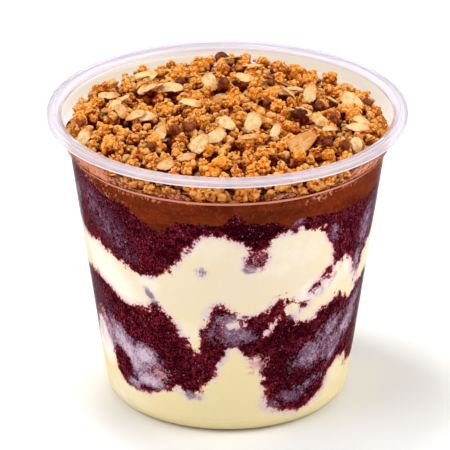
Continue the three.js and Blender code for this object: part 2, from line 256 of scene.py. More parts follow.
class GranolaSettings(bpy.types.PropertyGroup):
    """Sizes and colours of the heap."""

    crest: length("Crest", "Height of the heap's middle", 98.2)
    edge: length("Edge", "Height of the heap at the wall", 94.2)
    reach: length("Reach", "Radius of the heap", 52.6)
    seed: IntProperty(name="Seed", description="Start of the random draws", default=11)
    # Pale is a painted highlight on the tips of the clusters.
    pale: colour("Pale", "Tips of the clusters", 253, 211, 136)
    golden: colour("Golden", "Lit faces of the clusters", 233, 142, 43)
    toasted: colour("Toasted", "Darker clusters", 170, 72, 12)
    # Painted light: clusters at the wall, in the lip's shade, are coloured lighter.
    painted_edge_light: colour("Lit edge", "Clusters against the wall, under the lip", 248, 162, 68)
    # The crevice colour is painted shade, in hollows and under the heap's surface.
    crevice_shade: colour("Crevice", "Hollows of the clusters", 138, 36, 16)
    oat: colour("Oat", "Middle of an oat flake", 228, 201, 146)
    oat_edge: colour("Oat edge", "Toasted edge of an oat flake", 204, 130, 58)
    cocoa: colour("Cocoa", "Cocoa balls and clusters", 140, 62, 22)
    raisin: colour("Raisin", "Raisin skin", 112, 48, 28)
    # The bed is coloured darker than the clusters, as painted shade in the gaps.
    bed: colour("Bed", "Crumbly core under the clusters", 150, 72, 20)


class StageSettings(bpy.types.PropertyGroup):
    """Camera, floor and light."""

    elevation: FloatProperty(
        name="Elevation", description="Camera above the table", default=math.radians(24), subtype="ANGLE"
    )
    distance: length("Distance", "Camera to tub", 3000)
    lens: FloatProperty(name="Lens", description="Focal length in millimetres", default=738.4)
    aim_right: length("Aim right", "Picture's middle, to the right of the tub's middle", -0.77)
    aim_up: length("Aim up", "Picture's middle, above the tub's middle", 7.5)
    floor_colour: colour("Floor colour", "Plain pale floor", 244, 243, 241)
    world_strength: FloatProperty(name="World strength", description="Even light all round", default=0.54)
    key_power: power("Key power", "Large soft light, upper left", 10.0)
    top_power: power("Top power", "Soft light from above", 11.0)
    fill_power: power("Fill power", "Large soft light, right", 9.0)


# Finishes


def dimmed(colour, share):
    return tuple(share * value for value in colour)


class Finish:
    """One node material, built step by step on Object coordinates."""

    def __init__(self, name, roughness, specular=0.5):
        self.material = bpy.data.materials.new(name)
        self.material.use_nodes = True
        self.tree = self.material.node_tree
        self.shader = self.tree.nodes["Principled BSDF"]
        self.set({"Roughness": roughness, "Specular IOR Level": specular})
        self.place = self.node("TexCoord", {})["Object"]

    def wire(self, value, socket):
        if isinstance(value, bpy.types.NodeSocket):
            self.tree.links.new(value, socket)
        else:
            socket.default_value = (*value, 1) if socket.type == "RGBA" else value

    def set(self, inputs):
        for name, value in inputs.items():
            self.wire(value, self.shader.inputs[name])

    def node(self, kind, inputs, **settings):
        """Adds a node, with constants or other nodes' outputs on its inputs. Returns its outputs."""
        node = self.tree.nodes.new("ShaderNode" + kind)
        for name, value in settings.items():
            setattr(node, name, value)
        for name, value in inputs.items():
            self.wire(value, node.inputs[name])
        return node.outputs

    def noise(self, scale, detail=2.0, roughness=0.5, place=None):
        inputs = {"Vector": place or self.place, "Scale": scale, "Detail": detail, "Roughness": roughness}
        return self.node("TexNoise", inputs)["Fac"]

    def cells(self, scale):
        """Distance to the nearest of scattered points, and a random colour for each point."""
        outputs = self.node("TexVoronoi", {"Vector": self.place, "Scale": scale})
        return outputs["Distance"], outputs["Color"]

    def stretched(self, place, scale):
        return self.node("Mapping", {"Vector": place, "Scale": scale})["Vector"]

    def attribute(self, name, output="Fac"):
        return self.node("Attribute", {}, attribute_name=name)[output]

    def parts(self, vector):
        return self.node("SeparateXYZ", {0: vector})

    def math(self, operation, first, second=0.0):
        return self.node("Math", {0: first, 1: second}, operation=operation)[0]

    def times(self, first, second):
        return self.math("MULTIPLY", first, second)

    def swing(self, value, size):
        """A noise value about nought, of the given size."""
        return self.times(self.math("SUBTRACT", value, 0.5), size)

    def total(self, *values):
        return functools.reduce(lambda first, second: self.math("ADD", first, second), values)

    def rise(self, value, low, high, top=1.0):
        """A smooth rise from nought at low to top at high."""
        inputs = {"Value": value, "From Min": low, "From Max": high, "To Max": top}
        return self.node("MapRange", inputs, interpolation_type="SMOOTHSTEP")["Result"]

    def mix(self, factor, first, second):
        return self.node("Mix", {0: factor, 6: first, 7: second}, data_type="RGBA")[2]

    def coats(self, shown, *coats):
        """Lays colours one over another: (colour, value, low, high, top), each where its value rises."""
        for coat, *rise in coats:
            shown = self.mix(self.rise(*rise), shown, coat)
        return shown

    def finished(self, shown, height=None, strength=1.0, distance=0.0):
        """The material in its colour, with a bump where a height is given."""
        self.set({"Base Color": shown})
        if height:
            inputs = {"Height": height, "Strength": strength, "Distance": distance}
            self.set({"Normal": self.node("Bump", inputs)["Normal"]})
        return self.material


def plastic_finish(name, tint, transmission, roughness, bend, behind=None, coat=0.0):
    """Plastic of one colour, or of another behind than in front, with drawn streaks. The colour behind is
    painted light bounced from the food, its streaks painted highlights.
    """
    finish = Finish(name, roughness)
    if behind:
        # Lighter streaks of the front tint on the colour behind: painted highlights.
        streak = finish.noise(1.0, place=finish.stretched(finish.place, (12, 12, 1100)))
        behind = finish.coats(behind, (tint, streak, 0.54, 0.7, 0.6))
        tint = finish.coats(tint, (behind, finish.parts(finish.place)[1], -0.03, 0.03))
    finish.set({"Coat Weight": coat, "Transmission Weight": transmission, "IOR": bend})
    return finish.finished(tint)


def layer_finish(name, food, roughness):
    """Cream, acai and chocolate on the plastic: which one shows follows the piece's own depths."""
    finish = Finish(name, roughness, specular=0.0)
    rise, mix, times, coats, attribute = finish.rise, finish.mix, finish.times, finish.coats, finish.attribute
    drift = finish.noise(75)
    noises = {size: finish.noise(scale) for size, scale in (("broad", 260), ("middle", 450), ("fine", 800))}
    noises["grain"] = finish.noise(1600, 2, 0.6)
    middle, fine, grain = noises["middle"], noises["fine"], noises["grain"]

    def stirred(value, **swings):
        """A value with noises added, each as large as given."""
        return finish.total(value, *(finish.swing(noises[size], swing) for size, swing in swings.items()))

    inside, pale = attribute("acai_depth"), attribute("pale")
    ragged = times(stirred(0.0, broad=4.6, middle=4.2, fine=3.2), attribute("ragged"))
    depth = stirred(finish.total(inside, ragged), grain=2.2)
    blurred = stirred(inside, broad=4.5, fine=1.0)

    cream = coats(
        food.cream, (food.cream_base, finish.parts(finish.place)[2], 0.055, 0.022),
        (food.cream_base, drift, 0.45, 0.75, 0.4), (food.cream_base, middle, 0.5, 0.72, 0.25),
        (food.cream_pale, stirred(pale, broad=0.8), 0.0, 1.0),
    )
    blur = times(rise(blurred, -2.8, 0.2, 0.85), rise(drift, 0.4, 0.58))
    cream = coats(mix(blur, cream, food.frost_light), (food.acai_edge, depth, -0.9, 0.1, 0.4))

    acai = coats(
        food.acai_dark, (food.acai_light, grain, 0.4, 0.62), (food.acai_dark, middle, 0.44, 0.62, 0.7),
        (food.acai_dark, drift, 0.42, 0.66, 0.4),
    )
    # Painted shade: the acai darkened in its patches.
    acai = mix(attribute("deep"), acai, food.acai_dark)
    veil = times(attribute("veil"), rise(stirred(middle, grain=0.8), 0.32, 0.62))
    acai = mix(veil, acai, food.frost_dark)
    near, lot = finish.cells(1000)
    speck = times(rise(near, 0.3, 0.1), rise(lot, 0.66, 0.74, 0.24))
    acai = coats(mix(speck, acai, food.frost_light), (food.acai_edge, depth, 1.3, 0.1, 0.5))
    shown = coats(cream, (acai, depth, -0.3, 0.3))

    cover = attribute("frost")
    frost = rise(stirred(cover, broad=1.5, middle=1.2, fine=0.7, grain=0.9), 0.15, 0.75, 0.92)
    frost = times(frost, rise(cover, 0.05, 0.3))
    thick = stirred(cover, middle=1.6, fine=1.3, grain=2.0)
    on_cream = rise(stirred(inside, middle=2), 0.0, -1.0)
    haze = stirred(cover, middle=0.9, fine=0.5)
    core = times(rise(haze, 0.45, 1.0), rise(pale, 0.75, 0.35))
    frosted = coats(food.frost_dark, (food.frost_light, thick, 0.4, 2.2))
    frosted = mix(on_cream, frosted, mix(core, food.frost_light, food.frost_dark))
    faint = times(rise(haze, 0.1, 0.8, 0.85), on_cream)
    on_acai = times(frost, finish.math("SUBTRACT", 1.0, on_cream))
    shown = mix(finish.math("MAXIMUM", on_acai, faint), shown, frosted)

    stain = attribute("blush")
    blush = rise(stirred(stain, middle=1.2, fine=1.4, grain=1.6), 0.2, 1.1, 0.8)
    shown = mix(times(blush, rise(stain, 0.05, 0.3)), shown, food.blush)

    swirl = finish.noise(70, 3, place=finish.stretched(finish.place, (1, 1, 3)))
    chocolate = coats(
        food.chocolate, (food.chocolate_dark, swirl, 0.4, 0.66), (food.chocolate_dark, middle, 0.5, 0.7, 0.6),
        (food.smear, fine, 0.5, 0.7, 0.05),
    )
    spread = attribute("smear")
    smear = rise(stirred(spread, broad=1.2, middle=2.0, fine=2.4, grain=2.4), 0.25, 1.5, 0.95)
    chocolate = mix(times(smear, rise(spread, 0.02, 0.3)), chocolate, food.smear)
    chocolate_depth = stirred(attribute("chocolate_depth"), fine=2.4, grain=1.6)
    return finish.finished(coats(shown, (chocolate, chocolate_depth, -0.2, 0.2)), fine, 0.15, 0.0002)


def cluster_finish(name, pale, light, dark, crevice_shade, edge, sheen=0.0):
    """Baked granola: tone by piece, fine crumb; painted highlights on tips, painted shade in dark hollows, on
    undersides and under the heap, painted light on pieces at the wall.
    """
    finish = Finish(name, 0.6, specular=sheen)
    hollow, tone, sunk = finish.parts(finish.attribute("lump", "Vector"))
    blotch, crumb = finish.noise(420, 3), finish.noise(1300, 3, 0.65)
    toast = finish.total(finish.rise(tone, 0.2, 1, 0.75), finish.swing(blotch, 1.8))
    # Over tone and crumb: the edge coat is painted light on pieces at the wall, the pale coat painted
    # highlights on tips, the dark and crevice coats on hollows, undersides and sunk corners painted shade.
    shown = finish.coats(
        finish.mix(toast, light, dark), (light, finish.cells(460)[1], 0.5, 0.75, 0.5),
        (dark, crumb, 0.52, 0.7, 0.4), (edge, sunk, 0.0, -1.0, 0.65), (pale, hollow, 0.34, 0.0, 0.55),
        (dark, hollow, 0.5, 0.8, 0.7), (crevice_shade, hollow, 0.7, 1.0, 0.7), (crevice_shade, sunk, 0.1, 0.9, 0.95),
    )
    return finish.finished(shown, crumb, 1.0, 0.0007)


def flake_finish(granola):
    """Rolled oat: pale, creased and streaked along its length, toasted at the edge."""
    finish = Finish("oat_flake", 0.6, specular=0.3)
    flake = finish.attribute("flake", "Vector")
    along, across, _ = finish.parts(flake)
    streak = finish.noise(1.0, 3, place=finish.stretched(flake, (6, 30, 40)))
    toast = finish.total(
        finish.rise(finish.attribute("rim"), 0.8, 1.0, 0.5), finish.swing(finish.noise(480, 3), 2.4),
        finish.rise(finish.attribute("tone"), 0.1, 1, 0.9), finish.rise(along, 0.05, 0.5, 0.6),
    )
    shown = finish.coats(
        finish.mix(toast, granola.oat, granola.oat_edge), (granola.oat_edge, streak, 0.48, 0.68, 0.36),
        (granola.oat_edge, finish.noise(1500), 0.5, 0.7, 0.35),
        # Painted shade: a darker line along the crease.
        (granola.toasted, finish.math("ABSOLUTE", across), 0.035, 0.0, 0.14),
    )
    return finish.finished(shown, streak, 0.8, 0.0005)


def plain_finish(name, light, dark, roughness, scale, bump):
    finish = Finish(name, roughness, specular=0.15)
    blotch = finish.noise(scale, 3)
    return finish.finished(finish.coats(dark, (light, blotch, 0.35, 0.68)), blotch, 0.5, bump)


# Shapes


def hand_over(piece, slot, *nodes):
    """Puts a finished piece on the part's body, in the place of the solids that it stands for."""
    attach(piece, BODY)
    if nodes:
        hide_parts(*nodes)


def added(add, **settings):
    """The object that an operator adds, as the only one selected."""
    bpy.ops.object.select_all(action="DESELECT")
    add(**settings)
    return bpy.context.object


def cleaned(step, **settings):
    """Runs a step on the whole mesh of the active object, then turns its faces outwards."""
    bpy.ops.object.mode_set(mode="EDIT")
    bpy.ops.mesh.select_all(action="SELECT")
    step(**settings)
    bpy.ops.mesh.normals_make_consistent(inside=False)
    bpy.ops.object.mode_set(mode="OBJECT")


def read(rows, field, width, kind=float):
    """A field of a mesh's corners, edges or faces as an array."""
    values = np.empty(len(rows) * width, kind)
    rows.foreach_get(field, values)
    return values.reshape(-1, width)


def corners_of(piece):
    return read(piece.data.vertices, "co", 3)


def set_corners(piece, corners):
    piece.data.vertices.foreach_set("co", np.asarray(corners, np.float32).ravel())
    piece.data.update()


def set_attribute(piece, name, values, kind="FLOAT"):
    attribute = piece.data.attributes.new(name, kind, "POINT")
    field = "vector" if kind == "FLOAT_VECTOR" else "value"
    attribute.data.foreach_set(field, np.asarray(values, np.float32).ravel())


def arc(radius, height, size, start, end, steps):
    angles = np.radians(np.linspace(start, end, steps))
    return [(radius + size * math.cos(a), height + size * math.sin(a)) for a in angles]


def tub_profile(tub):
    """The tub's section in millimetres, outside from the axis up to the lip, then inside down to the axis."""
    wall, corner, taper = tub.wall / MM, tub.corner_radius / MM, tub.taper
    base, top, rim, drop = tub.base_radius / MM, tub.height / MM, tub.rim_radius / MM, tub.lip_drop / MM
    recess, flat, step = tub.recess_depth / MM, tub.recess_radius / MM, tub.step_height / MM
    band, band_top = tub.band_radius / MM, tub.band_top_radius / MM
    lean = math.degrees(math.atan(taper))
    centre = base + taper * corner - corner * math.hypot(1, taper)
    neck = base + taper * step

    def band_at(share, inset=0.0):
        return band + (band_top - band) * share - inset, step + 1 + (top - wall - 2.6 - step) * share

    outside = [
        (0, recess), (flat * 0.5, recess), (flat - 0.5, recess), (flat + 0.3, recess - 0.2),
        (flat + 1.7, 0.2), (flat + 2.3, 0),
        *arc(centre, corner, corner, -90, -lean, 14),
        *[(base + taper * z, z) for z in np.linspace(corner, step - 0.4, 24)[1:]],
        (neck + 0.05, step), (neck + 0.35, step + 0.35), (band - 0.3, step + 0.6), (band, step + 1),
        (band + 0.25, step + 2.2),
        *[band_at(share) for share in (0.35, 0.6, 0.85, 1)],
        *arc(band_top + 1.2, top - wall - 1.2, 1.2, 170, 90, 5),
        (rim - wall - 0.2, top - wall), (rim - wall, top - wall - 0.2), (rim - wall, top - drop + 0.1),
        (rim - wall + 0.15, top - drop), (rim - 0.15, top - drop), (rim, top - drop + 0.15),
        (rim, top - drop + 0.5),
        *arc(rim - 0.8, top - 0.8, 0.8, 0, 90, 6),
        *[(rim - inwards, top - down) for inwards, down in LIP_RIBS],
    ]
    inside = [
        *arc(band_top - wall + 1.2, top - 1.2, 1.2, 90, 175, 6),
        *[band_at(share, wall) for share in (0.85, 0.65, 0.45, 0.2)],
        (band - wall, step + 1.4), (band - wall - 0.35, step + 0.9), (neck - wall + 0.25, step + 0.55),
        (neck - wall, step + 0.2),
        *[(base + taper * z - wall, z) for z in np.linspace(step - 0.2, corner, 24)[:-1]],
        *arc(centre, corner, corner - wall, -lean, -90, 12),
        (flat + 2.3, wall), (flat + 1.7, wall + 0.2), (flat + 0.3, wall + recess - 0.2),
        (flat - 0.5, wall + recess), (flat * 0.5, wall + recess), (0, wall + recess),
    ]
    return outside, inside


def spun(name, profile, steps):
    """A profile drawn corner by corner and spun about Z."""
    piece = added(bpy.ops.mesh.primitive_plane_add, size=MM)
    piece.name = name
    bpy.ops.object.mode_set(mode="EDIT")
    bpy.ops.mesh.select_all(action="SELECT")
    bpy.ops.mesh.merge(type="CENTER")
    last = (0.0, 0.0)
    for index, (radius, height) in enumerate(profile):
        move = ((radius - last[0]) * MM, 0, (height - last[1]) * MM)
        if index:
            bpy.ops.mesh.extrude_vertices_move(TRANSFORM_OT_translate={"value": move})
        else:
            bpy.ops.transform.translate(value=move)
        last = (radius, height)
    bpy.ops.mesh.select_all(action="SELECT")
    bpy.ops.mesh.spin(steps=steps, angle=2 * math.pi, center=(0, 0, 0), axis=(0, 0, 1))
    bpy.ops.object.mode_set(mode="OBJECT")
    cleaned(bpy.ops.mesh.remove_doubles, threshold=0.01 * MM)
    return piece


def wrapped_grid(name, columns, rings, place):
    """A grid wrapped round Z: place(angle, ring) gives the corners, in millimetres."""
    sizes = {"x_subdivisions": columns, "y_subdivisions": rings - 1, "size": 2}
    piece = added(bpy.ops.mesh.primitive_grid_add, **sizes)
    piece.name = name
    flat = corners_of(piece)
    angle = (flat[:, 0] + 1) / 2 * 360
    ring = np.rint((flat[:, 1] + 1) / 2 * (rings - 1)).astype(int)
    set_corners(piece, place(angle, ring) * MM)
    cleaned(bpy.ops.mesh.remove_doubles, threshold=0.01 * MM)
    bpy.ops.object.shade_smooth()
    return piece


def about_axis(corners):
    """Angle from the front, distance from the axis and height of each corner."""
    x, y, z = corners.T
    return np.degrees(np.arctan2(x, -y)), np.hypot(x, y), z


def polar(angle, radius, height):
    return np.stack([radius * np.sin(np.radians(angle)), -radius * np.cos(np.radians(angle)), height], axis=1)


# Layers


def turn(angle):
    return (np.asarray(angle) + 180) % 360 - 180


def boundary_height(boundary, angle, share=1.0):
    level, marks = boundary
    total = np.zeros_like(np.asarray(angle, float))
    for at, rise, width in marks:
        near = np.minimum(np.abs(turn(angle - at)) / width, 1)
        total += rise * (0.5 + 0.5 * np.cos(math.pi * near))
    return level + total * share


def boundary_depth(boundary, angle, height, radius):
    """Distance above a boundary, in millimetres, measured across it."""
    low, high = boundary_height(boundary, angle - 0.5), boundary_height(boundary, angle + 0.5)
    slope = (high - low) / np.maximum(np.radians(1) * radius, 0.1)
    return (height - boundary_height(boundary, angle)) / np.hypot(1, slope)


def patch_reach(angle, height, radius, patch):
    """How far inside a patch a point is: 1 in its middle, 0 on its edge."""
    at, level, length, width, tilt, _ = patch
    across, up = np.radians(turn(angle - at)) * radius, height - level
    cosine, sine = math.cos(math.radians(tilt)), math.sin(math.radians(tilt))
    return 1 - np.hypot((across * cosine + up * sine) / length, (up * cosine - across * sine) / width)


def back_patches(kind):
    """Patches for the side that isn't seen in front, in the same style."""
    draw = np.random.default_rng(sum(map(ord, kind)))
    low, high = BACK_PATCHES["span"]
    patches = []
    for index in range(BACK_PATCHES[kind]):
        at = low + (high - low) * (index + draw.random()) / BACK_PATCHES[kind]
        long, wide = draw.uniform(3, 10), draw.uniform(1.6, 4.2)
        if kind != "frost":
            long, wide = draw.uniform(2, 4.5), draw.uniform(1.2, 2.4)
        height, tilt = draw.uniform(*BACK_PATCHES["heights"]), draw.uniform(-50, 50)
        patches.append((at, height, long, wide, tilt, draw.uniform(0.6, 1)))
    return patches


def layer_fields(corners):
    """The depths and masks that the layers' finish reads at each corner."""
    angle, radius, height = about_axis(corners)

    def above(boundary):
        return boundary_depth(boundary, angle, height, radius)

    def reach(patch):
        return patch_reach(angle, height, radius, patch)

    def cover(patch, slope, start):
        return patch[STRENGTH] * np.clip(slope * reach(patch) + start, 0, 1)

    def mask(patches, slope=1.0, start=SOFT_EDGE):
        return np.max([cover(patch, slope, start) for patch in patches], axis=0)

    acai = np.maximum(np.minimum(above(CREAM_BASE_TOP), -above(ACAI_LOWER_TOP)), above(CREAM_MIDDLE_TOP))
    for patch in ACAI_ISLANDS + back_patches("islands"):
        acai = np.maximum(acai, np.minimum(reach(patch), patch[STRENGTH] - 0.5) * patch[WIDTH])
    for patch in CREAM_SPOTS + back_patches("spots"):
        acai = np.minimum(acai, -np.minimum(reach(patch), patch[STRENGTH] - 0.3) * patch[WIDTH])
    on_acai = np.clip(1 + acai / 2, 0, 1)
    frost = np.maximum(mask(FROST_PATCHES), mask(back_patches("frost")) * on_acai)
    for patch in FROST_HOLES:
        frost *= 1 - np.clip(2.2 * reach(patch) + 0.3, 0, 1)
    ragged = np.prod([1 - cover(patch, 2, 0) for patch in CALM_PATCHES], axis=0)
    return {
        "acai_depth": acai, "chocolate_depth": above(ACAI_UPPER_TOP), "frost": frost, "ragged": ragged,
        "smear": mask(CHOCOLATE_SMEARS), "blush": mask(BLUSH_PATCHES), "pale": mask(PALE_PATCHES, 1.6, 0),
        "deep": mask(PAINTED_SHADE_PATCHES, 1.5, 0), "veil": mask(VEIL_PATCHES, 1.6, 0),
    }


def inside_radius(tub, food, height):
    """Radius of the food at the wall, just inside the plastic."""
    inside = np.array(tub_profile(tub)[1][6:-6])[::-1]
    return np.interp(height, inside[:, 1], inside[:, 0]) + food.embed / MM


# Rings of a layer's faces, as shares of its radius.
FACE_SHARES = np.concatenate([np.linspace(0, 0.9, 8), [0.96]])
# Half the gap between two layers.
SEAM = 0.01
# Points of the tub's inner floor: the level ones, then those round its corner, up to a slope in degrees.
FLOOR_LEVEL, FLOOR_CORNER, FLOOR_SLOPE = 6, 12, 82


def layer(node, slot, lower, upper, rows, material, food, tub, hug=1.5):
    """A layer between two boundaries, or between the tub's floor and a boundary."""
    count, embed = len(FACE_SHARES), food.embed / MM
    floor = np.array(tub_profile(tub)[1][-FLOOR_LEVEL - FLOOR_CORNER:])[::-1]
    slopes = [np.zeros(FLOOR_LEVEL), np.linspace(0, FLOOR_SLOPE, FLOOR_CORNER)]
    slopes = np.radians(np.concatenate(slopes))
    floor += embed * np.stack([np.sin(slopes), -np.cos(slopes)], axis=1)
    under = len(floor) if lower is None else count

    def place(angle, ring):
        top = boundary_height(upper, angle) - SEAM
        bottom = np.full_like(angle, floor[-1, 1]) if lower is None else boundary_height(lower, angle) + SEAM
        height = bottom + (top - bottom) * np.clip((ring - under) / (rows - 1), 0, 1)
        radius = inside_radius(tub, food, height)
        over, below = ring >= under + rows, ring < under
        share = FACE_SHARES[::-1][np.clip(ring - under - rows, 0, count - 1)]
        height = np.where(over, boundary_height(upper, angle, share**hug) - SEAM, height)
        radius = np.where(over, share * inside_radius(tub, food, top), radius)
        if lower is None:
            low_radius, low_height = floor[np.clip(ring, 0, under - 1)].T
        else:
            share = FACE_SHARES[np.clip(ring, 0, count - 1)]
            low_radius = share * inside_radius(tub, food, bottom)
            low_height = boundary_height(lower, angle, share**1.5) + SEAM
        return polar(angle, np.where(below, low_radius, radius), np.where(below, low_height, height))

    piece = wrapped_grid(node + "_layer", food.columns, under + rows + count, place)
    for field, values in layer_fields(corners_of(piece) / MM).items():
        set_attribute(piece, field, values)
    piece.data.materials.append(material)
    hand_over(piece, slot, node)


# Granola

# The heap's grid, in millimetres: the height that stands for the wall, the pitch, and spare cells all round.
WALL_HEIGHT, PITCH, MARGIN = 1000.0, 0.8, 14
# How far loose pieces keep from the wall's inner face, above the chocolate and sunk into it.
CLEAR, CLEAR_SUNK = 0.3, 1.1
# The bed under them: below the heap's surface, short of the wall, the width of its fall, sunk in chocolate.
BED_DROP, BED_SHORT, BED_FALL, BED_SUNK = 6.4, 6, 4, 0.7
# Rounds of smoothing by which hollows of a cluster and of the heap are found.
CLUSTER_ROUNDS, HEAP_ROUNDS = 5, 4
FLAKE_SHAPES, BALL_SHAPES = 8, 3


class Heap:
    """The heap's surface as heights on a square grid, on which pieces come to rest one after another."""

    def __init__(self, granola, bed, wall):
        self.reach = granola.reach / MM
        self.crest, self.edge = granola.crest / MM, granola.edge / MM
        self.half = int(self.reach / PITCH) + MARGIN
        axis = np.arange(-self.half, self.half + 1) * PITCH
        x, y = np.meshgrid(axis, axis, indexing="ij")
        self.height = np.where(np.hypot(x, y) < self.reach, bed(np.hypot(x, y)), WALL_HEIGHT)
        self.draw = np.random.default_rng(granola.seed)
        self.pieces = {}
        self.smooth = None
        self.wall = wall

    def goal(self, x, y):
        level = self.edge + (self.crest - self.edge) * (1 - (x**2 + y**2) / self.reach**2)
        for at_x, at_y, rise, width in HEAP_PEAKS:
            level = level + rise * np.exp(-((x - at_x) ** 2 + (y - at_y) ** 2) / width**2)
        return level

    def footprint(self, corners):
        """The grid cells under a piece, with its lowest and highest point in each."""
        cells = np.rint(corners[:, :2] / PITCH).astype(int)
        keys, which = np.unique(cells, axis=0, return_inverse=True)
        which = which.ravel()
        low, high = np.full(len(keys), np.inf), np.full(len(keys), -np.inf)
        np.minimum.at(low, which, corners[:, 2])
        np.maximum.at(high, which, corners[:, 2])
        return keys, low, high

    def rest(self, footprint, spots, press):
        """Heights at which a piece comes to rest at each spot, pressed in until a share of it sinks."""
        keys, low, _ = footprint
        cells = np.rint(spots / PITCH).astype(int)[:, None, :] + keys[None, :, :] + self.half
        cells = np.clip(cells, 0, 2 * self.half)
        under = self.height[cells[..., 0], cells[..., 1]]
        heights = np.quantile(under - low, 1 - press, axis=1)
        return np.where((under >= WALL_HEIGHT).any(axis=1), WALL_HEIGHT, heights)

    def lay(self, kind, shape, corners, spots, tone, press, ceiling=None, sink=0.0, push=(0, 0, 0)):
        """Lays a piece at the best of the spots, pushed against the wall, where there is room."""
        footprint = self.footprint(corners)
        heights = self.rest(footprint, spots, press) - sink
        over = heights + 0.5 * footprint[2].max() - self.goal(spots[:, 0], spots[:, 1])
        best = int(np.argmin(over))
        if heights[best] >= WALL_HEIGHT or (ceiling is not None and over[best] > ceiling):
            return
        cell = np.rint(spots[best] / PITCH).astype(int)
        spot = np.array([*spots[best], heights[best]])
        keys = footprint[0] + cell + self.half
        top = footprint[2] + spot[2]
        self.height[keys[:, 0], keys[:, 1]] = np.maximum(self.height[keys[:, 0], keys[:, 1]], top)
        self.pieces.setdefault(kind, []).append((shape, self.kept_inside(corners + spot + push), tone))

    def kept_inside(self, corners):
        """Corners of a piece that is pressed flat against the wall, or sunk into the chocolate below it."""
        angle, radius, height = about_axis(corners)
        sunk = height < boundary_height(CHOCOLATE_TOP, angle) + 0.1
        limit = self.wall(height) - np.where(sunk, CLEAR_SUNK, CLEAR)
        share = np.minimum(1, limit / np.maximum(radius, 1))
        return corners * np.stack([share, share, np.ones_like(share)], axis=1)

    def seen_spot(self, corners, right, up, press):
        """The spot at which a piece that comes to rest is seen at the given place from the front."""
        deep = math.sqrt((self.reach - 4) ** 2 - right**2)
        rows = np.linspace(-deep, deep, 132)
        spots = np.stack([np.full_like(rows, right), rows], axis=1)
        heights = self.rest(self.footprint(corners), spots, press)
        return spots[[int(np.argmin(np.abs(SIGHT[0] * rows + SIGHT[1] * heights - up)))]]

    def sunk(self, corners):
        """How deep corners lie under the finished heap's smoothed surface: 0 on it, 1 well under it, which
        the finish paints as shade; at the wall, below the heap's edge, it falls to -1, which the finish
        paints as light.
        """
        if self.smooth is None:
            level = np.where(self.height < WALL_HEIGHT, self.height, self.edge)
            for _ in range(HEAP_ROUNDS):
                for axis in (0, 1):
                    level = (np.roll(level, 1, axis) + level + np.roll(level, -1, axis)) / 3
            self.smooth = level
        cells = np.rint(corners[:, :2] / PITCH).astype(int) + self.half
        _, radius, height = about_axis(corners)
        inner = np.clip((self.reach - 3 - radius) / 4, 0, 1)
        low = np.clip((self.edge - height) / 2, 0, 1)
        under = np.clip((self.smooth[cells[:, 0], cells[:, 1]] - height) / 3.2, 0, 1)
        return inner * under - (1 - inner) * low

    def spots(self, count, reach):
        angle = self.draw.uniform(0, 2 * math.pi, count)
        radius = reach * np.sqrt(self.draw.random(count))
        return np.stack([radius * np.cos(angle), radius * np.sin(angle)], axis=1)


def turned_about(angles):
    """A turn by angles about X, Y and Z, in that order, in degrees."""
    (cx, cy, cz), (sx, sy, sz) = np.cos(np.radians(angles)), np.sin(np.radians(angles))
    about_x = np.array([[1, 0, 0], [0, cx, -sx], [0, sx, cx]])
    about_y = np.array([[cy, 0, sy], [0, 1, 0], [-sy, 0, cy]])
    about_z = np.array([[cz, -sz, 0], [sz, cz, 0], [0, 0, 1]])
    return about_z @ about_y @ about_x


def taken_apart(piece):
    """A modelled shape as corners and triangles, with how hollow each corner is. The shape is removed."""
    cleaned(bpy.ops.mesh.quads_convert_to_tris)
    mesh = piece.data
    corners, normals = corners_of(piece), read(mesh.vertex_normals, "vector", 3)
    faces, edges = read(mesh.polygons, "vertices", 3, int), read(mesh.edges, "vertices", 2, int)
    links = np.maximum(np.bincount(edges.ravel(), minlength=len(corners)), 1)[:, None]
    smooth = corners.copy()
    for _ in range(CLUSTER_ROUNDS):
        around = np.zeros_like(smooth)
        np.add.at(around, edges[:, 0], smooth[edges[:, 1]])
        np.add.at(around, edges[:, 1], smooth[edges[:, 0]])
        smooth = 0.4 * smooth + 0.6 * around / links
    sunk = ((smooth - corners) * normals).sum(axis=1)
    bpy.data.objects.remove(piece)
    return {"corners": corners, "faces": faces, "hollow": np.clip(0.5 + 2.6 * sunk, 0, 1)}


def added_texture(name, scale):
    texture = bpy.data.textures.new(name, "CLOUDS")
    texture.noise_scale = scale
    texture.noise_depth = 2
    return texture


def applied(piece, kind, **settings):
    modifier = piece.modifiers.new(kind.lower(), kind)
    for name, value in settings.items():
        setattr(modifier, name, value)
    bpy.ops.object.modifier_apply(modifier=modifier.name)


